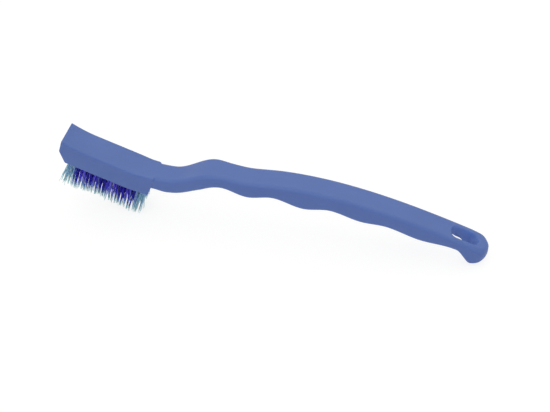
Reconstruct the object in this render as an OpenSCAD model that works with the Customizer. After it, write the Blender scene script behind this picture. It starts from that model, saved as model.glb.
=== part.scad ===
/* [Head] */
// Length of the head along its underside, from the nose to the heel
head_l = 51.8; // [50:0.1:56]
// Width of the head
head_w = 15.8; // [14:0.2:20]
// Thickness of the head, from its underside to its flat top
head_h = 13.2; // [11:0.2:16]
// Width of the head at the heel, where it meets the neck
heel_w = 14.2; // [13.2:0.1:15]
// Rounding of the heel's lower edge
heel_edge = 0.9; // [0.5:0.1:1.5]
// How much further back the heel reaches at its step than at its lower edge
heel_slant = 0.1; // [0:0.1:1.2]
// Distance from the heel back to the corner where the head's top meets the handle's level
corner_back = 2.1; // [1:0.1:2.4]
// Height of the heel's step, from the underside up to the neck
heel_step = 6.3; // [4:0.1:7]
// How far the top flares up at the nose
flare_h = 2; // [0:0.1:3]
// Length of that flare
flare_l = 15; // [8:0.5:18]
// How far the slanted underside of the nose reaches back
nose_back = 4.4; // [2:0.1:4.5]
// Height of the slanted underside of the nose
nose_rise = 7.2; // [4:0.2:9]
// Rounding of the edges round the face of the nose
nose_edge = 0.4; // [0.1:0.1:0.6]
// Rounding of the long upper edges of the head
head_edge = 1; // [0.6:0.1:1.5]
// Rounding of the long lower edges of the head
head_under_edge = 0.8; // [0.6:0.1:1.2]
// Tilt of the head against the handle, in degrees
head_tilt = 21.6; // [15:0.2:26]

/* [Handle] */
// Length of the handle, from the corner over the heel to the middle of the end knob
handle_l = 171.9; // [165:0.1:190]
// Distance from that corner to the lowest point of the neck's top
dip_run = 10.5; // [10:0.1:14]
// Width of the neck
neck_w = 13.3; // [12:0.1:14]
// Depth of the neck
neck_d = 9.9; // [8:0.1:11]
// Depth of the neck where it leaves the heel
heel_d = 8.6; // [7.5:0.1:9.5]
// Distance from the corner to the top of the thumb rest
thumb_run = 35.2; // [33:0.1:39]
// Height of the thumb rest over the dip
thumb_h = 8.4; // [5:0.1:10]
// Width of the thumb rest
thumb_w = 15.7; // [14.5:0.1:18]
// Distance from the corner to the saddle behind the thumb rest
saddle_run = 53.9; // [52:0.1:58]
// Height of the saddle over the dip
saddle_h = 6.2; // [4:0.1:8]
// Distance from the corner to the crown of the handle
crown_run = 70.9; // [68:0.1:78]
// Height of the crown over the dip
crown_h = 7; // [5:0.1:9]
// How far the middle of the end knob lies under the dip
end_drop = 24.5; // [18:0.1:28]
// Slope of the handle's top at its end, in degrees
end_slope = 22; // [18:0.5:26]
// Width of the grip
grip_w = 14; // [13:0.1:16]
// Length of the thumb rest's slope, on which the underside thins
thumb_slope = 12; // [9:0.5:14]
// Rounding of the grip's upper edges
grip_edge = 2.2; // [1.5:0.1:3]
// Rounding of the grip's lower edges
under_edge = 2.8; // [1.5:0.1:3.2]

/* [Finger waves] */
// Distance from the corner over the heel to the first bulge
bulge_run = 54.2; // [53:0.1:58]
// Spacing of the bulges
finger_pitch = 29.3; // [28:0.1:30]
// Depth of the handle under the thumb rest, its thinnest place
thumb_d = 8.2; // [7:0.1:9]
// Depth at the first bulge
bulge_1 = 10.9; // [9:0.1:12]
// Depth at the groove after it
groove_1 = 9.5; // [8:0.1:10]
// Depth at the second bulge
bulge_2 = 14; // [11:0.1:15]
// Depth at the groove after it
groove_2 = 10.9; // [9:0.1:11]
// Depth at the third bulge
bulge_3 = 12.8; // [11:0.1:14]
// Depth at the groove after it
groove_3 = 10.3; // [8:0.1:11]
// Depth at the fourth bulge
bulge_4 = 11.2; // [10:0.1:13]
// Depth at the groove after it, where the hang slot begins
groove_4 = 7.5; // [6.8:0.1:9]

/* [Hook end] */
// Radius of the knob that ends the handle, seen from the side
knob_r = 6.3; // [5:0.1:6.5]
// How far the end reaches past the middle of the knob
knob_reach = 7.3; // [5.4:0.1:7.4]
// How far round the knob's ball its underside leaves it for the slot, in degrees
knob_turn = 6; // [2:1:20]
// Rounding of the top edge at the end of the handle
end_edge = 2.1; // [1.6:0.1:3.5]
// Rounding of the handle's end, seen from above
end_plan = 5.2; // [5:0.1:6.5]
// Length of the hang slot
slot_l = 15.6; // [12:0.1:16]
// Width of the hang slot
slot_w = 7.2; // [5.5:0.1:7.5]
// Plastic left between the hang slot and the end of the knob
slot_wall = 5.6; // [4:0.1:6]

/* [Tufts] */
// Tufts in each outer row; the middle row has one fewer
tufts = 12; // [9:1:12]
// Distance from the nose to the first tufts
first_tuft = 7; // [6.4:0.1:7.5]
// Distance from the heel to the last tufts
heel_in = 3.1; // [2.4:0.1:4]
// Distance from the side of the head in to the middle of its outer row
row_in = 3.3; // [2.6:0.1:3.6]
// Diameter of a tuft hole
hole_d = 2.3; // [2:0.05:2.6]
// Depth of a tuft hole
hole_l = 7; // [5:0.1:9]
// Sides of a tuft hole and of the bundle packed into it
hole_sides = 8; // [6:1:12]
// Room between a bundle and its hole
bundle_gap = 0.04; // [0.02:0.01:0.1]
// Length of the bristles outside the head
trim_l = 18; // [12:0.5:22]
// How much longer or shorter than that a bristle may be
trim_spread = 0.9; // [0:0.1:1.5]
// How far the rearmost bristles reach past their trim before they meet the table
tip_sag = 0.2; // [0:0.1:0.4]
// Diameter of a bristle
strand_d = 0.46; // [0.3:0.02:0.5]
// How much a bristle bows to one side
strand_bow = 0.1; // [0:0.01:0.1]
// Bristles round the rim of each tuft
rim_strands = 7; // [6:1:9]
// Bristles in the middle of each tuft
core_strands = 3; // [3:1:4]
// How far the rim of a tuft opens out at its tips
fan = 0.75; // [0:0.05:0.75]
// How far the tufts lean back at their tips
lean_all = 1; // [0:0.1:2]
// How much of that the first tufts lack
lean_front = 0.5; // [0:0.1:2]
// How much of that the last tufts lack
lean_rear = 0.5; // [0:0.1:2]
// Length of the head over which these two differences fade out
lean_fade = 5; // [3:0.5:7]
// How far the outer rows lean outward at their tips
lean_side = 1.2; // [0:0.1:2]

/* [Anchors] */
// Width of an anchor, which bites into both sides of its hole
anchor_w = 2.9; // [2.7:0.05:3.2]
// Thickness of an anchor
anchor_t = 0.35; // [0.25:0.05:0.5]
// Height of an anchor
anchor_h = 1.8; // [1.2:0.1:2.4]
// Height of the fold of filaments over an anchor
fold_h = 0.7; // [0.5:0.1:1]
// Room around an anchor
anchor_gap = 0.02; // [0.01:0.01:0.05]

/* [Hidden] */
ROWS = ["right", "middle", "left"];
function row_count(r) = r == 1 ? tufts - 1 : tufts;
function two(n) = n < 10 ? str("0", n) : str(n);
function tuft_name(r, i) = str("tuft_", ROWS[r], "_", two(i + 1));

// The side view has the corner over the heel at [0, 0], where the line of the head's
// top meets the level of the dip, with the handle towards +x.
dip_r = dip_run / tan(head_tilt / 2);
corner_x = head_l - corner_back;
flat_end = corner_x - dip_run;
knob = [handle_l, -end_drop];
slope = tan(end_slope);
tip_x = handle_l + knob_reach;
top_end = knob + knob_r * [sin(end_slope), cos(end_slope)];
round_mid = [tip_x - end_edge,
             top_end[1] - (tip_x - end_edge - top_end[0]) * slope - end_edge / cos(end_slope)];
round_x = round_mid[0] + end_edge * sin(end_slope);

function ease(t) = t * t * (3 - 2 * t);
function mix(a, b, t) = a + (b - a) * t;

// Value at x of a line that runs level through each of its knots [x, value]
function level_line(knots, x, i = 0) =
    x <= knots[i][0] ? knots[i][1]
    : i == len(knots) - 1 ? knots[i][1]
    : x >= knots[i + 1][0] ? level_line(knots, x, i + 1)
    : let (a = knots[i], b = knots[i + 1]) mix(a[1], b[1], ease((x - a[0]) / (b[0] - a[0])));

// Height at x of a line that leaves [a] at slope ma and reaches [b] at slope mb
function falling_line(a, b, ma, mb, x) =
    let (w = b[0] - a[0], t = (x - a[0]) / w)
    mix(a[1], b[1], ease(t)) + ma * w * t * (1 - t) * (1 - t) - mb * w * t * t * (1 - t);

// A point of the head, from its own coordinates to the side view's
function head_pt(x, z) =
    let (u = x - corner_x, v = z - head_h)
    [u * cos(head_tilt) + v * sin(head_tilt), v * cos(head_tilt) - u * sin(head_tilt)];

// Top of the head, in the head's own coordinates
function head_top(x) =
    x < flare_l ? head_h + flare_h * pow(1 - x / flare_l, 2)
    : x < flat_end ? head_h
    : head_h + dip_r - sqrt(dip_r * dip_r - pow(x - flat_end, 2));

// Top of the handle, in the side view
function handle_top(x) =
    x < dip_run ? dip_r - sqrt(dip_r * dip_r - pow(x - dip_run, 2))
    : x < crown_run ? level_line([[dip_run, 0], [thumb_run, thumb_h], [saddle_run, saddle_h],
                                  [crown_run, crown_h]], x)
    : x < top_end[0] ? falling_line([crown_run, crown_h], top_end, 0, -slope, x)
    : x < round_x ? top_end[1] - (x - top_end[0]) * slope
    : round_mid[1] + sqrt(max(0, end_edge * end_edge - pow(x - round_mid[0], 2)));

// Depths of the handle below its top: bulges a pitch apart, with the grooves between them
// lying further back the steeper the handle falls
groove_share = [0.4, 0.5, 0.53, 0.73];
bulges = [bulge_1, bulge_2, bulge_3, bulge_4];
grooves = [groove_1, groove_2, groove_3, groove_4];
thin_run = thumb_run + thumb_slope / 3;
depths = concat([[0, heel_d], [dip_run - 2, neck_d], [thin_run - thumb_slope, neck_d], [thin_run, thumb_d]],
                [for (i = [0:3], k = [0:1])
                    k == 0 ? [bulge_run + i * finger_pitch, bulges[i]]
                           : [bulge_run + (i + groove_share[i]) * finger_pitch, grooves[i]]]);
last_groove = [depths[len(depths) - 1][0], handle_top(depths[len(depths) - 1][0]) - groove_4];
groove_slope = (handle_top(last_groove[0] + 0.1) - handle_top(last_groove[0])) / 0.1;

under_join = knob - knob_r * [sin(knob_turn), cos(knob_turn)];
function handle_under(x) =
    x < last_groove[0] ? handle_top(x) - level_line(depths, x)
    : x < under_join[0] ? falling_line(last_groove, under_join, groove_slope, -tan(knob_turn), x)
    : x < knob[0] ? knob[1] - sqrt(knob_r * knob_r - pow(x - knob[0], 2))
    : knob[1] - knob_r * sqrt(max(0, 1 - pow((x - knob[0]) / knob_reach, 2)));

widths = [[dip_run + 2, neck_w], [thumb_run - thumb_slope / 4, thumb_w],
          [thumb_run + thumb_slope * 3 / 4, grip_w]];
function handle_width(x) =
    let (plain = level_line(widths, x), past = (x - (tip_x - end_plan)) / end_plan)
    past <= 0 ? plain : plain * sqrt(max(0.01, 1 - past * past));

// A ring of the moulding: a rounded rectangle that stands on the line from [under] to [top]
// in the side view. Its corners have radius rt at the top and ru below.
arc_steps = 3;
function ring(top, under, w, rt, ru) =
    let (up = (top - under) / norm(top - under), d = norm(top - under),
         corners = [[w / 2 - rt, d - rt, rt, 0], [rt - w / 2, d - rt, rt, 90],
                    [ru - w / 2, ru, ru, 180], [w / 2 - ru, ru, ru, 270]])
    [for (c = corners, k = [0:arc_steps])
        let (a = c[3] + k * 90 / arc_steps, y = c[0] + c[2] * cos(a), h = c[1] + c[2] * sin(a),
             p = under + up * h)
        [p[0], y, p[1]]];

function head_ring(x, under, w, rt, ru, drop = 0) =
    ring(head_pt(x, head_top(x) - drop), head_pt(x, under), w, rt, ru);

function head_width(x) = level_line([[flat_end, head_w], [head_l - heel_edge, heel_w]], x);

// Along the head: the face of the nose and its slanted underside, the flare, and the flat
// top that turns up towards the neck
nose_rings = concat(
    [head_ring(0, nose_rise + nose_edge, head_w - nose_edge, head_edge - nose_edge / 2,
               head_under_edge - nose_edge / 2, nose_edge / 2)],
    [for (k = [0:2]) head_ring(mix(nose_edge, nose_back, k / 2), mix(nose_rise - 2 * nose_edge, 0, k / 2),
                               head_w, head_edge, head_under_edge)],
    [for (k = [1:4]) head_ring(mix(nose_back, flare_l, k / 4), 0, head_w, head_edge, head_under_edge)]);
body_rings = [for (k = [0:6]) let (x = mix(flat_end, head_l - heel_edge, k / 6))
    head_ring(x, 0, head_width(x), head_edge, head_under_edge)];

// The heel's rounded lower edge and the step up to the neck
heel_rings = concat(
    [for (a = [45, 90]) head_ring(head_l - heel_edge * (1 - sin(a)), heel_edge * (1 - cos(a)), heel_w,
                                  mix(head_edge, grip_edge, a / 180), head_under_edge)],
    [ring(head_pt(head_l + heel_edge / 3, head_top(head_l + heel_edge / 3)),
          head_pt(head_l + heel_slant, heel_step - heel_edge / 2), (heel_w + neck_w) / 2,
          mix(head_edge, grip_edge, 0.8), mix(head_under_edge, under_edge, 0.2))]);

// The neck's rings swing from square to the head to upright.
neck_top = head_pt(head_l + heel_edge, head_top(head_l + heel_edge))[0];
neck_under = head_pt(head_l + heel_slant + heel_edge, heel_step)[0];
neck_steps = 5;
neck_rings = [for (k = [0:neck_steps]) let (t = k / neck_steps, x = mix(neck_top, dip_run, t))
    ring([x, handle_top(x)],
         let (u = mix(neck_under, dip_run, t)) [u, handle_under(u)],
         handle_width(x), grip_edge, mix(mix(head_under_edge, under_edge, 0.3), under_edge, t))];

grip_steps = 46;
grip_end = knob[0] - knob_r / 3;
grip_rings = [for (k = [1:grip_steps]) let (x = mix(dip_run, grip_end, k / grip_steps))
    ring([x, handle_top(x)], [x, handle_under(x)], handle_width(x), grip_edge, under_edge)];

// The knob's rings crowd together towards the tip, and their corners grow rounder until
// the last ring is nearly an oval.
end_steps = 8;
end_face = 0.02;
end_rings = [for (k = [1:end_steps])
    let (x = mix(grip_end, tip_x - end_face, sin(90 * k / end_steps)),
         d = handle_top(x) - handle_under(x), w = handle_width(x), r = 0.49 * min(d, w))
    ring([x, handle_top(x)], [x, handle_under(x)], w, min(mix(grip_edge, 2 * grip_edge, k / end_steps), r),
         min(mix(under_edge, w / 2, k / end_steps), r))];

module skin(rings) {
    n = len(rings[0]);
    m = len(rings);
    sides = [for (i = [0:m - 2], j = [0:n - 1], k = [0:1])
        let (a = i * n + j, b = i * n + (j + 1) % n)
        k == 0 ? [a, b + n, b] : [a, a + n, b + n]];
    ends = [[for (j = [0:n - 1]) j], [for (j = [0:n - 1]) m * n - 1 - j]];
    polyhedron(points = [for (r = rings, p = r) p], faces = concat(sides, ends));
}

// Places of the tufts in the head's own coordinates: the middle row stands between the
// outer ones, half a pitch along
row_gap = head_w / 2 - row_in;
tuft_pitch = (head_l - heel_in - first_tuft) / (tufts - 1);
function tuft_x(r, i) = first_tuft + (i + (r == 1 ? 0.5 : 0)) * tuft_pitch;
function tuft_y(r) = (r - 1) * row_gap;

// Puts a child from the head's own coordinates into the side view
module on_head() {
    rotate([0, head_tilt, 0])
        translate([-corner_x, 0, -head_h])
            children();
}

// The bundle ends just inside the hole's mouth, and the loose bristles root a little deeper.
mouth_in = 0.2;
root_in = 0.6;

// How far a tuft's tips lean along the head and across it
last_tuft = tuft_x(0, tufts - 1);
function lean_x(x) =
    lean_all - lean_rear * exp((x - last_tuft) / lean_fade) - lean_front * exp((first_tuft - x) / lean_fade);
function lean_y(y) = lean_side * y / row_gap;

// Where the brush rests: on the tips of its rearmost bristles and on the knob
rest_tip = head_pt(last_tuft + lean_all - lean_rear + hole_d / 2, -trim_l - tip_sag);
to_knob = knob - rest_tip;
rest_angle = atan2(to_knob[1], to_knob[0]) - asin(knob_r / norm(to_knob));

function turned(p) = [p[0] * cos(rest_angle) + p[1] * sin(rest_angle),
                      p[1] * cos(rest_angle) - p[0] * sin(rest_angle)];
floor_z = turned(knob)[1] - knob_r;
function height(p) = turned([p[0], p[2]])[1] - floor_z;

// A bristle is three-sided and bends once, halfway down. Its tip is cut square or, where
// it would reach through the surface that the brush stands on, flat along that surface.
sides = 3;
function head_pt3(p) = let (q = head_pt(p[0], p[2])) [q[0], p[1], q[1]];
function cut(a, b) = height(b) >= 0 ? b : a + (b - a) * height(a) / (height(a) - height(b));
module strand(root, middle, tip) {
    corner = [for (k = [0:sides - 1]) strand_d / 2 * [cos(360 * k / sides), sin(360 * k / sides), 0]];
    base = [for (c = corner) head_pt3(root + c)];
    bend = [for (c = corner) head_pt3(middle + c)];
    free = [for (c = corner) head_pt3(tip + c)];
    ends = [for (k = [0:sides - 1]) cut(bend[k], free[k])];
    quads = [for (i = [0:1], k = [0:sides - 1], h = [0:1])
        let (a = i * sides + k, b = i * sides + (k + 1) % sides)
        h == 0 ? [a, b, b + sides] : [a, b + sides, a + sides]];
    caps = [[for (k = [0:sides - 1]) sides - 1 - k], [for (k = [0:sides - 1]) 2 * sides + k]];
    polyhedron(points = concat(base, bend, ends), faces = concat(quads, caps));
}

// Roots of a tuft's bristles: a ring of them inside its rim and a few round its middle
rim_r = hole_d / 2 - 2 * bundle_gap - strand_d / 2;
core_r = rim_r - 1.1 * strand_d;
half_step = 180 / rim_strands;
function round_at(r, angle) = r * [cos(angle), sin(angle)];
function root(k) = k < rim_strands
    ? round_at(rim_r, 360 * k / rim_strands)
    : round_at(core_r, 360 * k / core_strands + half_step);

module bristles(r, i) {
    x = tuft_x(r, i);
    y = tuft_y(r);
    n = rim_strands + core_strands;
    chance = rands(-1, 1, 3 * n, 100 * r + i);
    for (k = [0:n - 1]) {
        q = root(k);
        long = trim_l + trim_spread * chance[k];
        bow = strand_bow * [chance[n + k], chance[2 * n + k]];
        lean = [lean_x(x), lean_y(y)] + q * fan;
        middle = [x, y] + q + lean / 2 + bow;
        tip = [x, y] + q + lean - bow;
        strand([x + q[0], y + q[1], root_in], [middle[0], middle[1], -long / 2], [tip[0], tip[1], -long]);
    }
}

// An anchor lies across its hole, over the fold of the filaments.
module anchor(x, y, room) {
    translate([x, y, hole_l - fold_h - anchor_h / 2])
        cube([anchor_t + 2 * room, anchor_w + 2 * room, anchor_h + 2 * room], center = true);
}

// Bundle of a tuft in its hole: the filaments pass over the anchor and come back down.
module bundle(x, y) {
    difference() {
        translate([x, y, mouth_in])
            cylinder(r = hole_d / 2 - bundle_gap, h = hole_l - mouth_in - bundle_gap, $fn = hole_sides);
        anchor(x, y, anchor_gap);
    }
}

// A tuft hole, with the bites of its anchor on both sides
module hole(x, y) {
    translate([x, y, -hole_d])
        cylinder(d = hole_d, h = hole_l + hole_d, $fn = hole_sides);
    anchor(x, y, anchor_gap);
}

// The slot lies in line with the top of the handle's end, square through it.
slot_mid = tip_x - (slot_wall + slot_l / 2) * cos(end_slope);
module hang_slot() {
    run = slot_l - slot_w;
    translate([slot_mid, 0, handle_top(slot_mid)])
        rotate([0, end_slope, 0])
            linear_extrude(4 * knob_r + 4 * grip_edge, center = true) {
                square([run, slot_w], center = true);
                for (s = [-1, 1])
                    translate([s * run / 2, 0])
                        circle(d = slot_w, $fn = 32);
            }
}

// Sets the side view down on its bristle tips and its knob, over the middle of its box
front_tip = head_pt(first_tuft + lean_all - lean_front - hole_d / 2, -trim_l);
reach = [turned(front_tip)[0], turned(knob)[0] + knob_reach];
module at_rest() {
    translate([-(reach[0] + reach[1]) / 2, 0, -floor_z])
        rotate([0, rest_angle, 0])
            children();
}

module handle() {
    color([0.39, 0.47, 0.67])
        at_rest()
            difference() {
                skin(concat(nose_rings, body_rings, heel_rings, neck_rings, grip_rings, end_rings));
                on_head()
                    for (r = [0:2], i = [0:row_count(r) - 1])
                        hole(tuft_x(r, i), tuft_y(r));
                hang_slot();
            }
}

module anchors() {
    color([0.72, 0.72, 0.7])
        at_rest()
            on_head()
                for (r = [0:2], i = [0:row_count(r) - 1])
                    anchor(tuft_x(r, i), tuft_y(r), 0);
}

module tuft(r, i) {
    color([0.28, 0.33, 0.66])
        at_rest() {
            on_head()
                bundle(tuft_x(r, i), tuft_y(r));
            bristles(r, i);
        }
}

handle();
anchors();
for (r = [0:2], i = [0:row_count(r) - 1])
    tuft(r, i);
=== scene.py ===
# Crevice brush: a one-piece plastic handle, filament tufts folded over wire anchors.
# The row frame has +X from the head to the hang slot, +Y across and +Z up, in metres. The
# shape is worked out in a side view in millimetres: its origin is the corner over the heel.
import math
import random

import bmesh
import bpy
from mathutils import Matrix, Vector


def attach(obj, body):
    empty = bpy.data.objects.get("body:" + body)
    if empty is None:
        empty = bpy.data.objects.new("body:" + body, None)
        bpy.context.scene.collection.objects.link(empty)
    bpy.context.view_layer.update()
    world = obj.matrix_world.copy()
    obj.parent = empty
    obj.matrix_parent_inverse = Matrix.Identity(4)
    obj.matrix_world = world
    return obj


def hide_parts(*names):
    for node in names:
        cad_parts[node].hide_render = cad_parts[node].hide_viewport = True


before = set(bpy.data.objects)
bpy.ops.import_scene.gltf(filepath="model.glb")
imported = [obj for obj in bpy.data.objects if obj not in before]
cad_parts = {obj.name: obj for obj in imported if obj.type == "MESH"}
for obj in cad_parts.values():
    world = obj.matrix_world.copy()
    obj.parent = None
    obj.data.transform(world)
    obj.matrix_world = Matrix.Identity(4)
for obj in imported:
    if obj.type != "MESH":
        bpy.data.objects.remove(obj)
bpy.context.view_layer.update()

MM = 0.001

# The source's named values, in millimetres and radians: head
HEAD_L, HEAD_W, HEAD_H = 51.8, 15.8, 13.2
HEEL_W, HEEL_EDGE, HEEL_STEP, HEEL_SLANT = 14.2, 0.9, 6.3, 0.1
CORNER_BACK = 2.1
FLARE_H, FLARE_L = 2.0, 15.0
NOSE_BACK, NOSE_RISE, NOSE_EDGE = 4.4, 7.2, 0.4
HEAD_EDGE, HEAD_UNDER_EDGE, HEAD_TILT = 1.0, 0.8, math.radians(21.6)

# Handle
HANDLE_L, END_DROP, END_SLOPE = 171.9, 24.5, math.radians(22)
DIP_RUN, NECK_W, NECK_D, HEEL_D = 10.5, 13.3, 9.9, 8.6
THUMB_RUN, THUMB_H, THUMB_W, THUMB_D, THUMB_SLOPE = 35.2, 8.4, 15.7, 8.2, 12.0
SADDLE_RUN, SADDLE_H = 53.9, 6.2
CROWN_RUN, CROWN_H = 70.9, 7.0
GRIP_W, GRIP_EDGE, UNDER_EDGE = 14.0, 2.2, 2.8
BULGE_RUN, FINGER_PITCH = 54.2, 29.3
BULGES, GROOVES = (10.9, 14.0, 12.8, 11.2), (9.5, 10.9, 10.3, 7.5)
GROOVE_SHARE = (0.4, 0.5, 0.53, 0.73)

# Hook end
KNOB_R, KNOB_REACH, KNOB_TURN, END_EDGE, END_PLAN = 6.3, 7.3, math.radians(6), 2.1, 5.2
SLOT_L, SLOT_W, SLOT_WALL = 15.6, 7.2, 5.6

# Tufts
ROWS = ("right", "middle", "left")
TUFTS, FIRST_TUFT, HEEL_IN, ROW_IN = 12, 7.0, 3.1, 3.3
HOLE_D, HOLE_L = 2.3, 7.0
TRIM_L, TRIM_SPREAD, TIP_SAG = 18.0, 0.9, 0.2
FAN, LEAN_ALL, LEAN_FRONT, LEAN_REAR, LEAN_FADE, LEAN_SIDE = 0.95, 1.0, 0.5, 0.5, 5.0, 1.2
ANCHOR_W, ANCHOR_T, ANCHOR_H, FOLD_H = 2.9, 0.35, 1.8, 0.7

# What follows from them
TUFT_PITCH = (HEAD_L - HEEL_IN - FIRST_TUFT) / (TUFTS - 1)
CORNER_X = HEAD_L - CORNER_BACK
FLAT_END = CORNER_X - DIP_RUN
DIP_R = DIP_RUN / math.tan(HEAD_TILT / 2)
KNOB = (HANDLE_L, -END_DROP)
TIP_X = HANDLE_L + KNOB_REACH
TOP_END = (KNOB[0] + KNOB_R * math.sin(END_SLOPE), KNOB[1] + KNOB_R * math.cos(END_SLOPE))
SLOPE = math.tan(END_SLOPE)

# Details that only the visual model has, in millimetres: the nose's eased corner, the length
# behind it over which the easing fades, the hollow under the neck, and the holes' mouths
NOSE_SOFT, NOSE_FADE, HOLLOW = 0.35, 1.2, 0.7
MOUTH, HOLE_SIDES = 0.15, 24
# The slot's rims: their roundings above and below, and how many degrees each one turns
SLOT_RIM, SLOT_UNDER_RIM, RIM_TURN = 0.7, 1.0, 78
# The mould seam: its place up a side, how far it stands out, half its width, and the most of
# the side that this may be
SEAM_H, SEAM_OUT, SEAM_HALF, SEAM_SHARE = 0.46, 0.03, 0.14, 0.1
# Steps of a ring's corners, how close to its ends a flat has the points that hold it flat, and
# the most of a level and of an upright flat that this may be
CORNER_STEPS, HOLD, HOLD_SHARE, SIDE_HOLD_SHARE = 9, 0.12, 0.3, 0.15
# The least radius of an inset corner, the share of the heel's height below which its width
# holds, how much of its size the knob's corners take, and how far before the tip it closes
LEAST_EDGE, HEEL_HOLD, KNOB_ROUND, TIP_GAP = 0.25, 0.25, 0.49, 0.004
# Faces that meet at more than this keep a sharp edge
SHARP = math.radians(34)
# Points of a mesh closer than this are one, in metres
WELD = 2e-6


def mix(a, b, t):
    return a + (b - a) * t


def ease(t):
    return t * t * (3 - 2 * t)


def steps_to(a, b, steps):
    """Even steps from a, which is left out, to b."""
    return [mix(a, b, k / steps) for k in range(1, steps + 1)]


def level_line(knots, x):
    """Value at x of a line that runs level through each knot (x, value)."""
    if x <= knots[0][0]:
        return knots[0][1]
    for a, b in zip(knots, knots[1:]):
        if x < b[0]:
            return mix(a[1], b[1], ease((x - a[0]) / (b[0] - a[0])))
    return knots[-1][1]


def falling_line(a, b, slope_a, slope_b, x):
    """Height at x of a line that leaves a at one slope and reaches b at another."""
    w = b[0] - a[0]
    t = (x - a[0]) / w
    return mix(a[1], b[1], ease(t)) + slope_a * w * t * (1 - t) ** 2 - slope_b * w * t * t * (1 - t)


def head_point(x, z):
    """A point of the head, from its own coordinates to the side view's."""
    u, v = x - CORNER_X, z - HEAD_H
    c, s = math.cos(HEAD_TILT), math.sin(HEAD_TILT)
    return (u * c + v * s, v * c - u * s)


def head_top(x):
    """Height of the head's top in its own coordinates: flare, flat, and the dip to the neck."""
    if x < FLARE_L:
        return HEAD_H + FLARE_H * (1 - x / FLARE_L) ** 2
    if x < FLAT_END:
        return HEAD_H
    return HEAD_H + DIP_R - math.sqrt(DIP_R ** 2 - (x - FLAT_END) ** 2)


TOP_KNOTS = [(DIP_RUN, 0), (THUMB_RUN, THUMB_H), (SADDLE_RUN, SADDLE_H), (CROWN_RUN, CROWN_H)]
ROUND_MID_X = TIP_X - END_EDGE
ROUND_MID_Z = TOP_END[1] - (ROUND_MID_X - TOP_END[0]) * SLOPE - END_EDGE / math.cos(END_SLOPE)
ROUND_X = ROUND_MID_X + END_EDGE * math.sin(END_SLOPE)


def handle_top(x):
    """Height of the handle's top in the side view."""
    if x < DIP_RUN:
        return DIP_R - math.sqrt(DIP_R ** 2 - (x - DIP_RUN) ** 2)
    if x < CROWN_RUN:
        return level_line(TOP_KNOTS, x)
    if x < TOP_END[0]:
        return falling_line((CROWN_RUN, CROWN_H), TOP_END, 0, -SLOPE, x)
    if x < ROUND_X:
        return TOP_END[1] - (x - TOP_END[0]) * SLOPE
    return ROUND_MID_Z + math.sqrt(max(0, END_EDGE ** 2 - (x - ROUND_MID_X) ** 2))


# Depths of the handle under its top: neck, thumb rest, and the bulges and grooves of the grip
THIN_RUN = THUMB_RUN + THUMB_SLOPE / 3
DEPTHS = [(0, HEEL_D), (DIP_RUN - 2, NECK_D),
          (THIN_RUN - THUMB_SLOPE, NECK_D), (THIN_RUN, THUMB_D)]
for step, (bulge, groove, share) in enumerate(zip(BULGES, GROOVES, GROOVE_SHARE)):
    DEPTHS.append((BULGE_RUN + step * FINGER_PITCH, bulge))
    DEPTHS.append((BULGE_RUN + (step + share) * FINGER_PITCH, groove))
LAST_GROOVE = (DEPTHS[-1][0], handle_top(DEPTHS[-1][0]) - DEPTHS[-1][1])
GROOVE_SLOPE = (handle_top(LAST_GROOVE[0] + 0.1) - handle_top(LAST_GROOVE[0])) / 0.1
UNDER_JOIN = (KNOB[0] - KNOB_R * math.sin(KNOB_TURN), KNOB[1] - KNOB_R * math.cos(KNOB_TURN))


def handle_under(x):
    """Height of the handle's underside in the side view."""
    if x < LAST_GROOVE[0]:
        return handle_top(x) - level_line(DEPTHS, x)
    if x < UNDER_JOIN[0]:
        return falling_line(LAST_GROOVE, UNDER_JOIN, GROOVE_SLOPE, -math.tan(KNOB_TURN), x)
    if x < KNOB[0]:
        return KNOB[1] - math.sqrt(KNOB_R * KNOB_R - (x - KNOB[0]) ** 2)
    return KNOB[1] - KNOB_R * math.sqrt(max(0, 1 - ((x - KNOB[0]) / KNOB_REACH) ** 2))


WIDTHS = [(DIP_RUN + 2, NECK_W), (THUMB_RUN - THUMB_SLOPE / 4, THUMB_W),
          (THUMB_RUN + THUMB_SLOPE * 3 / 4, GRIP_W)]


def handle_width(x):
    """Width of the handle, rounded in plan at its end."""
    past = (x - (TIP_X - END_PLAN)) / END_PLAN
    plain = level_line(WIDTHS, x)
    return plain if past <= 0 else plain * math.sqrt(max(0.0001, 1 - past * past))


def head_width(x):
    return level_line([(FLAT_END, HEAD_W), (HEAD_L - HEEL_EDGE, HEEL_W)], x)


# How the side view is set down: on its rearmost bristle tips and its knob
LAST_TUFT = FIRST_TUFT + (TUFTS - 1) * TUFT_PITCH
REST_TIP = head_point(LAST_TUFT + LEAN_ALL - LEAN_REAR + HOLE_D / 2, -TRIM_L - TIP_SAG)
TO_KNOB = (KNOB[0] - REST_TIP[0], KNOB[1] - REST_TIP[1])
REST_ANGLE = math.atan2(TO_KNOB[1], TO_KNOB[0]) - math.asin(KNOB_R / math.hypot(*TO_KNOB))


def turned(p):
    """A point of the side view, turned to the rest angle."""
    c, s = math.cos(REST_ANGLE), math.sin(REST_ANGLE)
    return (p[0] * c + p[1] * s, p[1] * c - p[0] * s)


FLOOR_Z = turned(KNOB)[1] - KNOB_R
FRONT_TIP = head_point(FIRST_TUFT + LEAN_ALL - LEAN_FRONT - HOLE_D / 2, -TRIM_L)
MIDDLE_X = (turned(FRONT_TIP)[0] + turned(KNOB)[0] + KNOB_REACH) / 2


def at_rest(x, y, z):
    """A point of the side view, y across, as a point of the row frame in metres."""
    a, b = turned((x, z))
    return Vector((a - MIDDLE_X, y, b - FLOOR_Z)) * MM


def on_head(x, y, z):
    """A point in the head's own coordinates as a point of the row frame in metres."""
    a, b = head_point(x, z)
    return at_rest(a, y, b)


# Meshes
def add_object(name, data):
    made = bpy.data.objects.new(name, data)
    bpy.context.scene.collection.objects.link(made)
    return made


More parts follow.
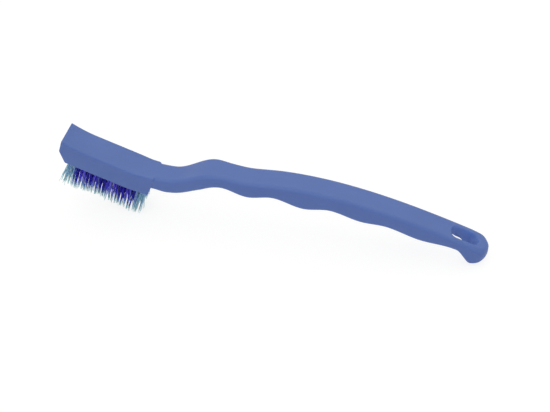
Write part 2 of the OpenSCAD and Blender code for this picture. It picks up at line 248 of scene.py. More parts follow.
def new_object(name, points, faces, smooth=True):
    """A mesh object of these points and faces, which sits at the origin."""
    mesh = bpy.data.meshes.new(name)
    mesh.from_pydata([tuple(p) for p in points], [], faces)
    mesh.validate()
    if smooth:
        mesh.shade_smooth()
    return add_object(name, mesh)


def skin(rings):
    """Points and faces of a closed skin over rings of equal count, capped at both ends."""
    n, m = len(rings[0]), len(rings)
    points = [p for ring in rings for p in ring]
    faces = [(i * n + j, i * n + (j + 1) % n, (i + 1) * n + (j + 1) % n, (i + 1) * n + j)
             for i in range(m - 1) for j in range(n)]
    return points, faces + [tuple(range(n - 1, -1, -1)), tuple(range((m - 1) * n, m * n))]


def skins(forms):
    """Points and faces of several closed skins, each given by its rings."""
    points, faces = [], []
    for rings in forms:
        base = len(points)
        part, around = skin(rings)
        points += part
        faces += [tuple(base + q for q in f) for f in around]
    return points, faces


def circle(centre, u, v, radius, sides):
    """Points round a centre, in the plane of u and v."""
    return [centre + radius * (math.cos(2 * math.pi * k / sides) * u
                               + math.sin(2 * math.pi * k / sides) * v) for k in range(sides)]


def write_uv(piece, name, pairs):
    """A UV layer that carries a pair of numbers for each point of a mesh."""
    layer = piece.data.uv_layers.new(name=name)
    for loop in piece.data.loops:
        layer.data[loop.index].uv = pairs[loop.vertex_index]


# The handle: rings of the moulding from the nose to the end knob
def ring(top, under, w, rt, ru):
    """A rounded rectangle on the line from under to top, w wide, with corners of radius rt at
    its top and ru at its foot, and a fine mould seam on its sides. Each flat has points close
    to its ends that keep its shading flat."""
    d = math.hypot(top[0] - under[0], top[1] - under[1])
    up = ((top[0] - under[0]) / d, (top[1] - under[1]) / d)
    run = d - rt - ru
    fine, half = SEAM_OUT * min(1, w / GRIP_W), min(SEAM_HALF, run * SEAM_SHARE)
    seam, near = ru + SEAM_H * run, min(HOLD, run * SIDE_HOLD_SHARE)
    flat = []
    for cy, ch, r, start in ((w / 2 - rt, d - rt, rt, 0), (rt - w / 2, d - rt, rt, 90),
                             (ru - w / 2, ru, ru, 180), (w / 2 - ru, ru, ru, 270)):
        turns = [math.radians(start + 90 * k / CORNER_STEPS) for k in range(CORNER_STEPS + 1)]
        flat += [(cy + r * math.cos(a), ch + r * math.sin(a)) for a in turns]
        y, h = flat[-1]
        if start in (0, 180):
            in_y = math.copysign(min(HOLD, abs(y) * HOLD_SHARE), y)
            flat += [(y - in_y, h), (0, h), (in_y - y, h)]
        else:
            way = -1 if start == 90 else 1
            far = ru + near if start == 90 else d - rt - near
            flat += [(y, h + way * near), (y, seam - way * 2 * half), (y, seam - way * half),
                     (y + math.copysign(fine, y), seam),
                     (y, seam + way * half), (y, seam + way * 2 * half), (y, far)]
    return [at_rest(under[0] + up[0] * h, y, under[1] + up[1] * h) for y, h in flat]


def head_ring(x, under, inset=0.0):
    """A ring of the head, drawn in by inset on all sides."""
    rt, ru = max(LEAST_EDGE, HEAD_EDGE - inset), max(LEAST_EDGE, HEAD_UNDER_EDGE - inset)
    return ring(head_point(x, head_top(x) - inset), head_point(x, under + inset),
                head_width(x) - 2 * inset, rt, ru)


def handle_ring(x, under_x, rt, ru):
    """A ring of the handle, from under_x on its underside to x on its top."""
    return ring((x, handle_top(x)), (under_x, handle_under(under_x)), handle_width(x), rt, ru)


def nose_under(x):
    """Height of the underside: slanted at the nose, with its corner eased."""
    slant = NOSE_RISE * (1 - x / NOSE_BACK)
    return (slant + math.sqrt(slant * slant + NOSE_SOFT * NOSE_SOFT)) / 2


def nose_rings(edge_steps=7, slant_steps=24, flare_steps=18):
    rings, end = [], NOSE_BACK + NOSE_FADE
    for k in range(edge_steps + 1):
        a = math.radians(90 * (1 - k / edge_steps))
        x = NOSE_EDGE * (1 - math.sin(a))
        rings.append(head_ring(x, nose_under(x), NOSE_EDGE * (1 - math.cos(a))))
    rings += [head_ring(x, nose_under(x)) for x in steps_to(NOSE_EDGE, end, slant_steps)]
    return rings + [head_ring(x, 0) for x in steps_to(end, FLARE_L, flare_steps)]


def body_rings(flat_steps=14, dip_steps=24):
    places = steps_to(FLARE_L, FLAT_END, flat_steps)
    places += steps_to(FLAT_END, HEAD_L - HEEL_EDGE, dip_steps)
    return [head_ring(x, 0) for x in places]


NECK_TOP = head_point(HEAD_L + HEEL_EDGE, head_top(HEAD_L + HEEL_EDGE))[0]
NECK_UNDER = head_point(HEAD_L + HEEL_SLANT + HEEL_EDGE, HEEL_STEP)[0]
STEP_EDGE = mix(HEAD_UNDER_EDGE, UNDER_EDGE, 0.3)
GRIP_END = KNOB[0] - KNOB_R / 3


def heel_rings(edge_steps=6, back_steps=7, hollow_steps=6):
    """The heel's rounded lower edge, its back, and the hollow corner under the neck."""
    unders, foot = [], HEAD_L + HEEL_SLANT
    for k in range(1, edge_steps + 1):
        a = math.radians(90 * k / edge_steps)
        unders.append((HEAD_L - HEEL_EDGE * (1 - math.sin(a)), HEEL_EDGE * (1 - math.cos(a))))
    for k in range(1, back_steps + 1):
        z = mix(HEEL_EDGE, HEEL_STEP - HOLLOW, k / back_steps)
        unders.append((HEAD_L + HEEL_SLANT * k / back_steps, z))
    for k in range(1, hollow_steps):
        a = math.radians(90 * k / hollow_steps)
        unders.append((foot + HOLLOW * (1 - math.cos(a)), HEEL_STEP - HOLLOW * (1 - math.sin(a))))
    rings = []
    for k, (x, z) in enumerate(unders, 1):
        t = k / (len(unders) + 1)
        xt = mix(HEAD_L - HEEL_EDGE, HEAD_L + HEEL_EDGE, t)
        w = mix(HEEL_W, NECK_W, ease(max(0, (t - HEEL_HOLD) / (1 - HEEL_HOLD))))
        rings.append(ring(head_point(xt, head_top(xt)), head_point(x, z), w,
                          mix(HEAD_EDGE, GRIP_EDGE, ease(t)), mix(HEAD_UNDER_EDGE, STEP_EDGE, t)))
    return rings


def neck_rings(steps=24):
    shares = [k / steps for k in range(steps + 1)]
    return [handle_ring(mix(NECK_TOP, DIP_RUN, t), mix(NECK_UNDER, DIP_RUN, t), GRIP_EDGE,
                        mix(STEP_EDGE, UNDER_EDGE, t)) for t in shares]


def grip_rings(steps=190):
    return [handle_ring(x, x, GRIP_EDGE, UNDER_EDGE) for x in steps_to(DIP_RUN, GRIP_END, steps)]


def end_rings(steps=44):
    """The end knob, whose corners grow rounder until it closes just short of its tip."""
    rings, tip = [], TIP_X - TIP_GAP
    for k in range(1, steps + 1):
        t = k / steps
        x = mix(GRIP_END, tip, math.sin(math.pi / 2 * t))
        w = handle_width(x)
        most = KNOB_ROUND * min(handle_top(x) - handle_under(x), w)
        rings.append(handle_ring(x, x, min(mix(GRIP_EDGE, 2 * GRIP_EDGE, t), most),
                                 min(mix(UNDER_EDGE, w / 2, t), most)))
    return rings


# Cutters: the tuft holes, the bites of the anchors, and the hang slot with its rounded rims
def tuft_places():
    """Row, number, and place in the head's own coordinates of each tuft. The middle row has
    one tuft less and stands between the others."""
    for r, row in enumerate(ROWS):
        for i in range(TUFTS - 1 if r == 1 else TUFTS):
            x = FIRST_TUFT + (i + (0.5 if r == 1 else 0)) * TUFT_PITCH
            yield row, i, x, (r - 1) * (HEAD_W / 2 - ROW_IN)


HEAD_X = (on_head(1, 0, 0) - on_head(0, 0, 0)).normalized()
HEAD_Y = Vector((0, 1, 0))


def hole_cutter():
    """Straight holes with a slightly eased mouth."""
    r = HOLE_D / 2
    levels = [(HOLE_L, r), (MOUTH, r), (0, r + MOUTH), (-1, r + MOUTH)]
    holes = [[circle(on_head(x, y, z), HEAD_X, HEAD_Y, w * MM, HOLE_SIDES) for z, w in levels]
             for _, _, x, y in tuft_places()]
    return new_object("hole_cutter", *skins(holes), smooth=False)


def bite_cutter():
    """The anchors' own boxes, which bite into the walls of their holes."""
    a, b = ANCHOR_T / 2, ANCHOR_W / 2
    corners = ((-a, -b), (a, -b), (a, b), (-a, b))
    levels = (HOLE_L - FOLD_H, HOLE_L - FOLD_H - ANCHOR_H)
    boxes = [[[on_head(x + u, y + v, z) for u, v in corners] for z in levels]
             for _, _, x, y in tuft_places()]
    return new_object("bite_cutter", *skins(boxes), smooth=False)


SLOT_MID = TIP_X - (SLOT_WALL + SLOT_L / 2) * math.cos(END_SLOPE)
# Half the straight part of the slot
SLOT_RUN = (SLOT_L - SLOT_W) / 2


def slot_point(u, y, h):
    """u along the slot, y across it, h out of it, from the middle of its upper rim."""
    c, s = math.cos(END_SLOPE), math.sin(END_SLOPE)
    return (SLOT_MID + u * c + h * s, y, handle_top(SLOT_MID) - u * s + h * c)


def slot_surface(u, surface):
    """How far along the slot's own direction a surface lies at u."""
    h = 0.0
    for _ in range(30):
        x, _, z = slot_point(u, 0, h)
        h += 0.6 * (surface(x) - z)
    return h


def slot_cutter(round_steps=16, rim_steps=7, above=2.5, below=6):
    """A stadium-shaped way through the handle that opens out at both rims, and reaches this
    far above and below them."""
    loop = []
    for end, start in ((1, -90), (-1, 90)):
        loop += [(end * SLOT_RUN, math.radians(start + 180 * k / round_steps))
                 for k in range(round_steps + 1)]
    arcs = [math.radians(RIM_TURN * (1 - k / rim_steps)) for k in range(rim_steps + 1)]
    levels = [("top", SLOT_RIM, -above)]
    levels += [("top", SLOT_RIM * (1 - math.cos(a)), SLOT_RIM * (1 - math.sin(a))) for a in arcs]
    levels += [("middle", 0, 0)]
    levels += [("under", SLOT_UNDER_RIM * (1 - math.cos(a)), SLOT_UNDER_RIM * (1 - math.sin(a)))
               for a in reversed(arcs)]
    levels += [("under", SLOT_UNDER_RIM, -below)]
    rings = []
    for side, out, deep in levels:
        row = []
        for mid, a in loop:
            u, y = mid + (SLOT_W / 2 + out) * math.cos(a), (SLOT_W / 2 + out) * math.sin(a)
            upper, lower = slot_surface(u, handle_top) - deep, slot_surface(u, handle_under) + deep
            h = upper if side == "top" else lower if side == "under" else (upper + lower) / 2
            row.append(at_rest(*slot_point(u, y, h)))
        rings.append(row)
    return new_object("slot_cutter", *skin(rings), smooth=False)


def cut(piece, cutter):
    """Takes a cutter out of a piece, and deletes the cutter."""
    change = piece.modifiers.new("cut", "BOOLEAN")
    change.operation, change.solver, change.object = "DIFFERENCE", "EXACT", cutter
    bpy.context.view_layer.update()
    seen = piece.evaluated_get(bpy.context.evaluated_depsgraph_get())
    shape = bpy.data.meshes.new_from_object(seen)
    piece.modifiers.clear()
    piece.data = shape
    bpy.data.objects.remove(cutter)


def weld(piece):
    """Joins points that fall together and turns all faces outward."""
    shape = bmesh.new()
    shape.from_mesh(piece.data)
    bmesh.ops.remove_doubles(shape, verts=shape.verts, dist=WELD)
    bmesh.ops.dissolve_degenerate(shape, edges=shape.edges, dist=WELD)
    bmesh.ops.recalc_face_normals(shape, faces=shape.faces)
    shape.to_mesh(piece.data)
    shape.free()


def slot_depth(p):
    """How deep in the slot a point of the handle lies: 0 outside it, 1 past its rims."""
    middle, along = at_rest(*slot_point(0, 0, 0)), at_rest(*slot_point(1, 0, 0))
    out = at_rest(*slot_point(0, 0, 1))
    u, h = (p - middle).dot(along - middle) / MM ** 2, (p - middle).dot(out - middle) / MM ** 2
    aside = math.hypot(u - min(SLOT_RUN, max(-SLOT_RUN, u)), p.y / MM)
    if aside > SLOT_W / 2 + SLOT_UNDER_RIM + 0.05:
        return 0
    deep = min((slot_surface(u, handle_top) - h) / SLOT_RIM,
               (h - slot_surface(u, handle_under)) / SLOT_UNDER_RIM)
    return min(1, max(0, deep))


def make_handle():
    """The moulding with its holes, the bites of its anchors and its slot."""
    rings = (nose_rings() + body_rings() + heel_rings() + neck_rings() + grip_rings()
             + end_rings())
    handle = new_object("brush_handle", *skin(rings))
    weld(handle)
    for cutter in (hole_cutter(), bite_cutter(), slot_cutter()):
        weld(cutter)
        cut(handle, cutter)
    weld(handle)
    handle.data.shade_smooth()
    handle.data.set_sharp_from_angle(angle=SHARP)
    handle.data.materials.clear()
    handle.data.materials.append(plastic())
    # The depth layer says how far into the slot each point lies, and so how much of the slot's
    # painted light it takes
    write_uv(handle, "depth", [(slot_depth(v.co), 0) for v in handle.data.vertices])
    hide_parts("handle")
    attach(handle, "root")


# Materials. Colours are linear, and a ramp's stops are (position, colour).
PLASTIC_BLUES = ((0.3, (0.075, 0.142, 0.418)), (0.7, (0.081, 0.152, 0.438)))
# A clearer blue painted on the slot's walls: painted light that lifts the shade inside the slot
SLOT_PAINTED_LIGHT_BLUE = (0.14, 0.25, 0.62, 1)
PLASTIC_ROUGH = {"To Min": 0.4, "To Max": 0.52}
WIRE_GREY = (0.62, 0.61, 0.58, 1)
WIRE_ROUGH = {"To Min": 0.25, "To Max": 0.45}
# Noise: the moulding's flow marks and its grain, and the wire's draw marks
FLOW = {"Scale": 90, "Detail": 3}
GRAIN = {"Scale": 2600, "Detail": 2}
DRAW_MARKS = {"Scale": 6000}
# Filament tints from root to tip, its own blue with painted shade at the roots and painted
# light at the tips: deep for the darkest tufts, dark, violet as painted light through, and pale
TIP_TINT_AND_LIGHT = (0.46, 0.80, 0.78)
SHADE_AND_LIGHT_TINTS = (((0.0, (0.004, 0.002, 0.30)), (0.54, (0.012, 0.007, 0.42)), (0.7, (0.05, 0.08, 0.52)),
          (0.82, (0.17, 0.36, 0.58)), (0.93, (0.32, 0.60, 0.66)), (1.0, TIP_TINT_AND_LIGHT)),
         ((0.0, (0.03, 0.014, 0.64)), (0.54, (0.05, 0.04, 0.70)), (0.69, (0.09, 0.14, 0.64)),
          (0.8, (0.19, 0.38, 0.62)), (0.92, (0.33, 0.61, 0.68)), (1.0, TIP_TINT_AND_LIGHT)),
         ((0.0, (0.19, 0.14, 0.98)), (0.5, (0.21, 0.19, 0.94)), (0.7, (0.24, 0.36, 0.80)),
          (0.86, (0.30, 0.56, 0.68)), (1.0, TIP_TINT_AND_LIGHT)),
         ((0.0, (0.26, 0.50, 0.68)), (0.6, (0.27, 0.53, 0.66)), (0.85, (0.36, 0.64, 0.71)),
          (1.0, TIP_TINT_AND_LIGHT)))


def set_inputs(node, values):
    for name, value in values.items():
        node.inputs[name].default_value = value


def add_node(nodes, kind, values=None, **settings):
    """A shader node with its settings, and values for some of its inputs."""
    node = nodes.new("ShaderNode" + kind)
    for name, value in settings.items():
        setattr(node, name, value)
    set_inputs(node, values or {})
    return node


def add_ramp(nodes, stops):
    ramp = add_node(nodes, "ValToRGB")
    elements = ramp.color_ramp.elements
    while len(elements) < len(stops):
        elements.new(0.5)
    for element, (position, colour) in zip(elements, stops):
        element.position, element.color = position, colour + (1,)
    return ramp


def node_tree(name):
    """A new material, its nodes and links, and its shader node."""
    material = bpy.data.materials.new(name)
    material.use_nodes = True
    nodes, links = material.node_tree.nodes, material.node_tree.links
    return material, nodes, links, nodes["Principled BSDF"]


def plastic():
    """Satin moulded polypropylene: faint flow marks, a fine grain from the mould, and a clearer
    blue painted on the walls of the slot, as painted light that lifts the shade inside it."""
    material, nodes, links, shader = node_tree("satin_blue_plastic")
    place = add_node(nodes, "TexCoord")
    stretch = add_node(nodes, "Mapping", {"Scale": (0.35, 1, 1)})
    links.new(place.outputs["Object"], stretch.inputs["Vector"])
    flow = add_node(nodes, "TexNoise", FLOW)
    links.new(stretch.outputs["Vector"], flow.inputs["Vector"])
    tint = add_ramp(nodes, PLASTIC_BLUES)
    links.new(flow.outputs["Fac"], tint.inputs["Fac"])
    depth = add_node(nodes, "UVMap", uv_map="depth")
    parts = add_node(nodes, "SeparateXYZ")
    links.new(depth.outputs["UV"], parts.inputs["Vector"])
    # The walls of the slot take the clearer blue of painted light
    lit = add_node(nodes, "Mix", data_type="RGBA")
    set_inputs(lit, {"B": SLOT_PAINTED_LIGHT_BLUE})
    links.new(parts.outputs["X"], lit.inputs["Factor"])
    links.new(tint.outputs["Color"], lit.inputs["A"])
    links.new(lit.outputs["Result"], shader.inputs["Base Color"])
    grain = add_node(nodes, "TexNoise", GRAIN)
    links.new(place.outputs["Object"], grain.inputs["Vector"])
    rough = add_node(nodes, "MapRange", PLASTIC_ROUGH)
    links.new(grain.outputs["Fac"], rough.inputs["Value"])
    links.new(rough.outputs["Result"], shader.inputs["Roughness"])
    bump = add_node(nodes, "Bump", {"Strength": 0.25, "Distance": 0.00003})
    links.new(grain.outputs["Fac"], bump.inputs["Height"])
    links.new(bump.outputs["Normal"], shader.inputs["Normal"])
    set_inputs(shader, {"Subsurface Weight": 0.2, "Subsurface Radius": (1, 1, 1),
                        "Subsurface Scale": 0.002})
    return material


def filament():
    """Tinted clear filament: painted shade makes it dark where the tufts are packed, painted light
    makes it pale towards the tips. Its UV layer gives the place among the tints and the way from
    root to tip."""
    material, nodes, links, shader = node_tree("filament_painted_shade_and_light")
    place = add_node(nodes, "UVMap", uv_map="along")
    parts = add_node(nodes, "SeparateXYZ")
    links.new(place.outputs["UV"], parts.inputs["Vector"])
    last, tone = len(SHADE_AND_LIGHT_TINTS) - 1, None
    for k, stops in enumerate(SHADE_AND_LIGHT_TINTS):
        ramp = add_ramp(nodes, stops)
        links.new(parts.outputs["Y"], ramp.inputs["Fac"])
        if tone is None:
            tone = ramp.outputs["Color"]
            continue
        share = add_node(nodes, "MapRange", {"From Min": (k - 1) / last, "From Max": k / last})
        links.new(parts.outputs["X"], share.inputs["Value"])
        blend = add_node(nodes, "Mix", data_type="RGBA")
        links.new(share.outputs["Result"], blend.inputs["Factor"])
        links.new(tone, blend.inputs["A"])
        links.new(ramp.outputs["Color"], blend.inputs["B"])
        tone = blend.outputs["Result"]
    # The filament's blue, with painted shade towards the roots and painted light towards the tips
    links.new(tone, shader.inputs["Base Color"])
    set_inputs(shader, {"Roughness": 0.5, "Specular IOR Level": 0.25, "Subsurface Weight": 0.5,
                        "Subsurface Radius": (1, 1, 1), "Subsurface Scale": 0.0004})
    return material


def drawn_wire():
    """Flattened steel wire with fine draw marks."""
    material, nodes, links, shader = node_tree("anchor_wire")
    place = add_node(nodes, "TexCoord")
    stretch = add_node(nodes, "Mapping", {"Scale": (1, 0.05, 1)})
    marks = add_node(nodes, "TexNoise", DRAW_MARKS)
    links.new(place.outputs["Object"], stretch.inputs["Vector"])
    links.new(stretch.outputs["Vector"], marks.inputs["Vector"])
    rough = add_node(nodes, "MapRange", WIRE_ROUGH)
    links.new(marks.outputs["Fac"], rough.inputs["Value"])
    links.new(rough.outputs["Result"], shader.inputs["Roughness"])
    set_inputs(shader, {"Base Color": WIRE_GREY, "Metallic": 1})
    return material


# Filaments: each is folded over its tuft's anchor, so that both its ends are bristle tips.
# Lengths are in millimetres, and most pairs are the range of a random value.
FILAMENT_R, FILAMENT_SIDES, FREE_STEPS = 0.14, 5, 10
# Room beside the anchor, at the wall of the hole and between two filaments
ANCHOR_ROOM, WALL_ROOM, ROOM = 0.01, 0.02, 0.012
ROOT_SHIFT_X, ROOT_SHIFT_Y, FOLD_SHIFT = (0, 0.006), (-0.003, 0.003), (-0.01, 0.01)
FOLD_STEPS, FOLD_ROOM = 6, 0.05
# Clumps of a tuft: how many, how far out and how evenly set, how long, how tight, what tint
CLUMPS = (4, 5, 5, 6)
CLUMP_OUT, CLUMP_REACH, CLUMP_TURN, CLUMP_SWING = 0.6, (0.7, 1.15), (-0.3, 0.3), 0.35
CLUMP_LENGTH, CLUMP_TIGHT, CLUMP_TINT = (-1.9, 0.6), (0.5, 1.1), 0.07
# Outer tufts between these shades have some violet clumps, painted light coming through them
VIOLET_FROM, VIOLET_TO, VIOLET_CHANCE, VIOLET_LIGHT = 0.1, 0.9, 0.35, (0.5, 0.75)
# Painted light: pale for the first length from both ends of the head, fading over the second
PALE_END, PALE_FADE = 2.2, 1.6
# The trim: longer or shorter at the nose and heel, and how much shorter between them
TRIM_NOSE, TRIM_HEEL, TRIM_HOLLOW = 0.4, -0.1, 1.1
# How one bristle differs from its clump: in length as a share of the spread, in how tight it
# is, and aside
TRIM_SHARE, TRIM_DRAW, TIGHTER, ASIDE = 0.9, (-1.2, 0.8), (0.6, 1.1), 0.2
# How it moves along its length: how fast and how late it is pulled to its clump, and the
# powers by which it does so, fans out, leans and strays
PULL_RATE, PULL_LATE, PULL_POWER, FAN_POWER, LEAN_POWER, STRAY_POWER = 2.1, 1.1, 1.1, 0.8, 1.3, 1.5
# Strays: at the nose, at the heel, and the few among the others
NOSE_OUT, NOSE_OUT_POWER, NOSE_SHORTER, NOSE_CURL, NOSE_CURLS = 3.0, 1.6, 0.2, 0.3, (-1, 0.6)
HEEL_FROM, HEEL_CHANCE, HEEL_OUT, HEEL_SHARE = 0.3, 0.35, (0.3, 2.4), (0.5, 0.85)
STRAY_CHANCE, STRAY_X, STRAY_Y, STRAY_SHARE = 0.08, (-1.4, 1.4), (0, 0.8), (0.9, 1.05)
# The crimp of each filament, how much it tapers to its tip, and how its tint varies
CRIMP, CRIMP_PITCH, TAPER, TINT_DRAW = (0.03, 0.10), (5.5, 8), 0.45, 0.06
FULL_TURN, HALF_TURN = (0, 6.28), (0, 3.14)
# How many of its radii a point stays above the floor
CLEAR = 1.02
# How pale each tuft of an outer row looks, from the nose to the heel, and those of the middle,
# from the painted shade of the deep tints at 0 to the painted light of the pale ones at 1
PALE = (1.0, 0.04, 0.42, 0.0, 0.36, 0.0, 0.4, 0.12, 0.02, 0.42, 0.04, 1.0)
MIDDLE_PALE = {"front": 0.6, "among": 0.1, "back": 0.9}
# How tightly the tips of each tuft stick together
TIGHT = (0.1, 0.1, 0.2, 0.25, 0.45, 0.8, 0.95, 0.9, 0.9, 0.7, 0.35, 0.3)
# How much of the way to the tip tint the rows behind the near one go
SHADED_TIPS = 0.9


def lean_x(x):
    """How far a tuft leans back: less near both ends of its row."""
    return (LEAN_ALL - LEAN_REAR * math.exp((x - LAST_TUFT) / LEAN_FADE)
            - LEAN_FRONT * math.exp((FIRST_TUFT - x) / LEAN_FADE))


def lean_y(y):
    """How far a tuft leans out sideways."""
    return LEAN_SIDE * y / (HEAD_W / 2 - ROW_IN)


def packed_roots(chance):
    """Places in one half of a hole beside the anchor, packed in staggered rows."""
    least, most = ANCHOR_T / 2 + FILAMENT_R + ANCHOR_ROOM, HOLE_D / 2 - FILAMENT_R - WALL_ROOM
    step = 2 * FILAMENT_R + ROOM
    found, row, a = [], 0, least
    while a < most:
        b = -most + (step / 2 if row % 2 else 0)
        while b < most:
            p, q = a + chance.uniform(*ROOT_SHIFT_X), b + chance.uniform(*ROOT_SHIFT_Y)
            if math.hypot(p, q) < most:
                found.append((p, q))
            b += step
        row, a = row + 1, a + step * math.sqrt(3) / 2
    return found


def tuft_clumps(x, row, shade, tight, chance):
    """Where the ends of a tuft gather: for each clump its place along and across the head, how
    much longer and how tight it is, and its tint."""
    count = chance.choice(CLUMPS)
    turn, spread = chance.uniform(*FULL_TURN), CLUMP_OUT * HOLE_D / 2 * (1 + FAN)
    swing, clumps = chance.gauss(0, CLUMP_SWING), []
    for k in range(count):
        a = turn + 2 * math.pi * (k + chance.uniform(*CLUMP_TURN)) / count
        r = spread * chance.uniform(*CLUMP_REACH)
        tint = shade + chance.gauss(0, CLUMP_TINT)
        mixed = row != "middle" and VIOLET_FROM < shade < VIOLET_TO
        if mixed and chance.random() < VIOLET_CHANCE:
            tint = chance.uniform(*VIOLET_LIGHT)
        place = r * math.cos(a) + swing
        # Clumps near both ends of the head turn pale, as painted light
        from_end = min(x + place - FIRST_TUFT, LAST_TUFT - x - place)
        inside = min(1, max(0, (from_end - PALE_END) / PALE_FADE))
        clumps.append((place, r * math.sin(a), chance.uniform(*CLUMP_LENGTH),
                       tight * chance.uniform(*CLUMP_TIGHT), mix(1, tint, ease(inside))))
    return clumps


def free_end(x, y, root, clumps, where, chance):
    """The line of one bristle in the head's own coordinates, from the hole's mouth to its tip,
    and the tint of the clump that it joins."""
    open_x, open_y = root[0] * (1 + FAN), root[1] * (1 + FAN)
    gather_x, gather_y, longer, tight, tint = min(
        clumps, key=lambda c: (c[0] - open_x) ** 2 + (c[1] - open_y) ** 2)
    hold = tight * chance.uniform(*TIGHTER)
    far = (x - FIRST_TUFT) / (LAST_TUFT - FIRST_TUFT)
    trim = mix(TRIM_NOSE, TRIM_HEEL, far) - TRIM_HOLLOW * math.sin(math.pi * far) ** 2
    long = TRIM_L + trim + longer + TRIM_SHARE * TRIM_SPREAD * chance.uniform(*TRIM_DRAW)
    side = [ASIDE * chance.gauss(0, 1), ASIDE * chance.gauss(0, 1)]
    curl = 0.0
    if where == "front":
        out = chance.random() ** NOSE_OUT_POWER
        side[0] -= NOSE_OUT * out
        long *= 1 - NOSE_SHORTER * out * chance.random()
        curl = NOSE_CURL * out * chance.uniform(*NOSE_CURLS)
    elif where == "back" and root[0] > HEEL_FROM and chance.random() < HEEL_CHANCE:
        side[0] += chance.uniform(*HEEL_OUT)
        long *= chance.uniform(*HEEL_SHARE)
    elif chance.random() < STRAY_CHANCE:
        side[0] += chance.uniform(*STRAY_X)
        side[1] += math.copysign(chance.uniform(*STRAY_Y), root[1])
        long *= chance.uniform(*STRAY_SHARE)
    wave, turn = chance.uniform(*CRIMP), chance.uniform(*FULL_TURN)
    pitch, way = chance.uniform(*CRIMP_PITCH), chance.uniform(*HALF_TURN)
    line = []
    for k in range(FREE_STEPS + 1):
        t = k / FREE_STEPS
        crimp = wave * min(1, 3 * t) * math.sin(turn + 2 * math.pi * t * long / pitch)
        pull = hold * max(0, PULL_RATE * t - PULL_LATE) ** PULL_POWER
        wide = 1 + FAN * math.sin(math.pi / 2 * t) ** FAN_POWER
        lean, stray = t ** LEAN_POWER, t ** STRAY_POWER
        line.append((x + mix(root[0] * wide, gather_x, pull) + lean_x(x) * lean
                     + side[0] * stray + curl * math.sin(math.pi * t) + crimp * math.cos(way),
                     y + mix(root[1] * wide, gather_y, pull) + lean_y(y) * lean
                     + side[1] * stray + crimp * math.sin(way),
                     -long * t))
    return line, tint


def folded_line(x, y, root, clumps, where, chance):
    """One filament from tip to tip, over the anchor: its points, their tints, how far along
    each is and how thick."""
    other = (-root[0], root[1] + chance.uniform(*FOLD_SHIFT))
    first, tint_a = free_end(x, y, root, clumps, where, chance)
    last, tint_b = free_end(x, y, other, clumps, where, chance)
    crown, shoulder = HOLE_L - FOLD_H, HOLE_L - FOLD_H - ANCHOR_H
    top = (crown + FILAMENT_R
           + (FOLD_H - 2 * FILAMENT_R - FOLD_ROOM) * min(1, root[0] / (HOLE_D / 2)))
    turns = [math.radians(180 * k / FOLD_STEPS) for k in range(FOLD_STEPS + 1)]
    over = [(x + root[0] * math.cos(a), y + root[1], mix(crown, top, math.sin(a))) for a in turns]
    sides = [(x + a, y + b, shoulder) for a, b in (root, other)]
    inside = sides[:1] + over + sides[1:]
    half = (len(inside) + 1) // 2
    shades = [tint_a + chance.gauss(0, TINT_DRAW)] * (len(first) + half)
    shades += [tint_b + chance.gauss(0, TINT_DRAW)] * (len(inside) - half + len(last))
    steps = [k / FREE_STEPS for k in range(FREE_STEPS + 1)]
    thick = [1 - TAPER * max(0, 4 * t - 3) for t in steps]
    return (first[::-1] + inside + last, shades, steps[::-1] + [0] * len(inside) + steps,
            thick[::-1] + [1] * len(inside) + thick)


def tube(line, radii):
    """Rings round a line, carried along without twist and kept above the floor."""
    places = [on_head(*p) for p in line]
    for p, r in zip(places, radii):
        p.z = max(p.z, r * MM * CLEAR)
    rings, aside = [], HEAD_Y.copy()
    for k, (p, r) in enumerate(zip(places, radii)):
        way = (places[min(k + 1, len(places) - 1)] - places[max(k - 1, 0)]).normalized()
        aside = (aside - way * aside.dot(way)).normalized()
        rings.append(circle(p, aside, way.cross(aside), r * MM, FILAMENT_SIDES))
    return rings


def make_tuft(row, i, x, y, material):
    """One tuft: its folded filaments, with their tints in a UV layer."""
    chance = random.Random(100 * ROWS.index(row) + i)
    last = TUFTS - 2 if row == "middle" else TUFTS - 1
    where = "front" if i == 0 else "back" if i == last else "among"
    shade = MIDDLE_PALE[where] if row == "middle" else PALE[i]
    reach = 1 if row == "right" else SHADED_TIPS
    clumps = tuft_clumps(x, row, shade, TIGHT[i], chance)
    forms, tints = [], []
    for root in packed_roots(chance):
        line, shades, along, thick = folded_line(x, y, root, clumps, where, chance)
        forms.append(tube(line, [FILAMENT_R * t for t in thick]))
        for tint, t in zip(shades, along):
            tints += [(min(1, max(0, tint)), reach * t)] * FILAMENT_SIDES
    tuft = new_object(f"filaments_{row}_{i + 1:02d}", *skins(forms))
    write_uv(tuft, "along", tints)
    tuft.data.materials.append(material)
    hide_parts(f"tuft_{row}_{i + 1:02d}")
    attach(tuft, "root")


# The stage. The camera was fitted to the photograph in millimetres, in a frame whose axes are
# the side view's, where the corner over the heel lies at CORNER_AT.
LENS, SENSOR = 65.45, 36.0
CAMERA_AT = Vector((186.98, -350.33, 399.08))
CAMERA_RIGHT = Vector((0.9688, 0.2418, -0.0550))
CAMERA_DOWN = Vector((0.1385, -0.7116, -0.6888))
CORNER_AT = Vector((11.3, 0, 29.4))
# The floor: its colour for the light it throws back, and for the camera a dark shade that
# takes the shadow, with a glow that brings its lit part to white
FLOOR_HALF, FLOOR_GREY = 3.0, (0.75, 0.78, 0.84, 1)
FLOOR_SHADE, FLOOR_LIGHT, FLOOR_WHITE = 0.22, 0.9, 1.02
WORLD_LIGHT = 0.72
# Lamps: name, place, size, power and colour. Each points at the origin.
LAMPS = (("overhead_light", (0.15, 0.45, 1.3), 2.2, 5.7, (1, 1, 0.70)),
         ("front_light", (-0.45, -0.95, 0.95), 0.8, 2.2, (1, 0.98, 0.92)))


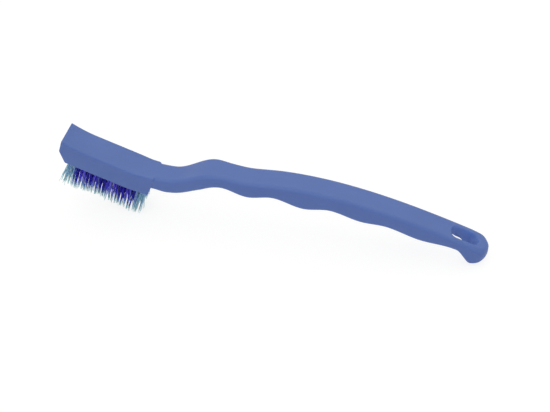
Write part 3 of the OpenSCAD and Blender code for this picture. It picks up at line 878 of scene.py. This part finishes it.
def make_camera():
    """The fitted camera, turned and moved with the side view to where it is set down."""
    spin = Matrix.Rotation(REST_ANGLE, 3, "Y")
    place = spin @ (CAMERA_AT - CORNER_AT) - Vector((MIDDLE_X, 0, FLOOR_Z))
    right = (spin @ CAMERA_RIGHT).normalized()
    up = -(spin @ CAMERA_DOWN)
    up = (up - right * up.dot(right)).normalized()
    data = bpy.data.cameras.new("camera")
    data.lens, data.sensor_width, data.sensor_fit = LENS, SENSOR, "HORIZONTAL"
    data.clip_start, data.clip_end = 0.01, 20
    camera = add_object("camera", data)
    turn = Matrix((right, up, right.cross(up))).transposed().to_4x4()
    camera.matrix_world = Matrix.Translation(place * MM) @ turn
    bpy.context.scene.camera = camera


def white_rays(nodes, links):
    """1 on the rays that show the background: straight, mirrored and through glass."""
    path = add_node(nodes, "LightPath")
    total = path.outputs["Is Camera Ray"]
    for name in ("Is Glossy Ray", "Is Transmission Ray"):
        more = add_node(nodes, "Math", operation="ADD", use_clamp=True)
        links.new(total, more.inputs[0])
        links.new(path.outputs[name], more.inputs[1])
        total = more.outputs[0]
    return total


def make_floor():
    """A plain floor, white to the camera but for the object's shadow."""
    half = FLOOR_HALF
    corners = [(-half, -half, 0), (half, -half, 0), (half, half, 0), (-half, half, 0)]
    floor = new_object("floor", corners, [(0, 1, 2, 3)], smooth=False)
    material, nodes, links, _ = node_tree("floor_white")
    nodes.clear()
    matt = add_node(nodes, "BsdfDiffuse", {"Color": FLOOR_GREY})
    seen = add_node(nodes, "BsdfDiffuse", {"Color": (FLOOR_SHADE, FLOOR_SHADE, FLOOR_SHADE, 1)})
    glow = add_node(nodes, "Emission", {"Strength": FLOOR_WHITE - FLOOR_SHADE * FLOOR_LIGHT})
    both = add_node(nodes, "AddShader")
    choice = add_node(nodes, "MixShader")
    out = add_node(nodes, "OutputMaterial")
    links.new(seen.outputs[0], both.inputs[0])
    links.new(glow.outputs[0], both.inputs[1])
    links.new(white_rays(nodes, links), choice.inputs[0])
    links.new(matt.outputs[0], choice.inputs[1])
    links.new(both.outputs[0], choice.inputs[2])
    links.new(choice.outputs[0], out.inputs["Surface"])
    floor.data.materials.append(material)


def make_world():
    """Even light from all sides, and white where the background shows."""
    world = bpy.data.worlds.new("studio")
    world.use_nodes = True
    bpy.context.scene.world = world
    nodes, links = world.node_tree.nodes, world.node_tree.links
    sky = nodes["Background"]
    set_inputs(sky, {"Color": (1, 1, 1, 1)})
    level = add_node(nodes, "MapRange", {"To Min": WORLD_LIGHT, "To Max": 1.0})
    links.new(white_rays(nodes, links), level.inputs["Value"])
    links.new(level.outputs["Result"], sky.inputs["Strength"])


def make_lamp(name, place, size, power, colour):
    data = bpy.data.lights.new(name, "AREA")
    data.shape, data.size, data.energy, data.color = "DISK", size, power, colour
    lamp = add_object(name, data)
    lamp.location = place
    lamp.rotation_euler = (-Vector(place)).to_track_quat("-Z", "Y").to_euler()


make_camera()
make_floor()
make_world()
for settings in LAMPS:
    make_lamp(*settings)
bpy.context.scene.view_settings.view_transform = "Standard"

make_handle()
bristle = filament()
for place in tuft_places():
    make_tuft(*place, bristle)
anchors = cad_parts["anchors"]
anchors.data.materials.clear()
anchors.data.materials.append(drawn_wire())
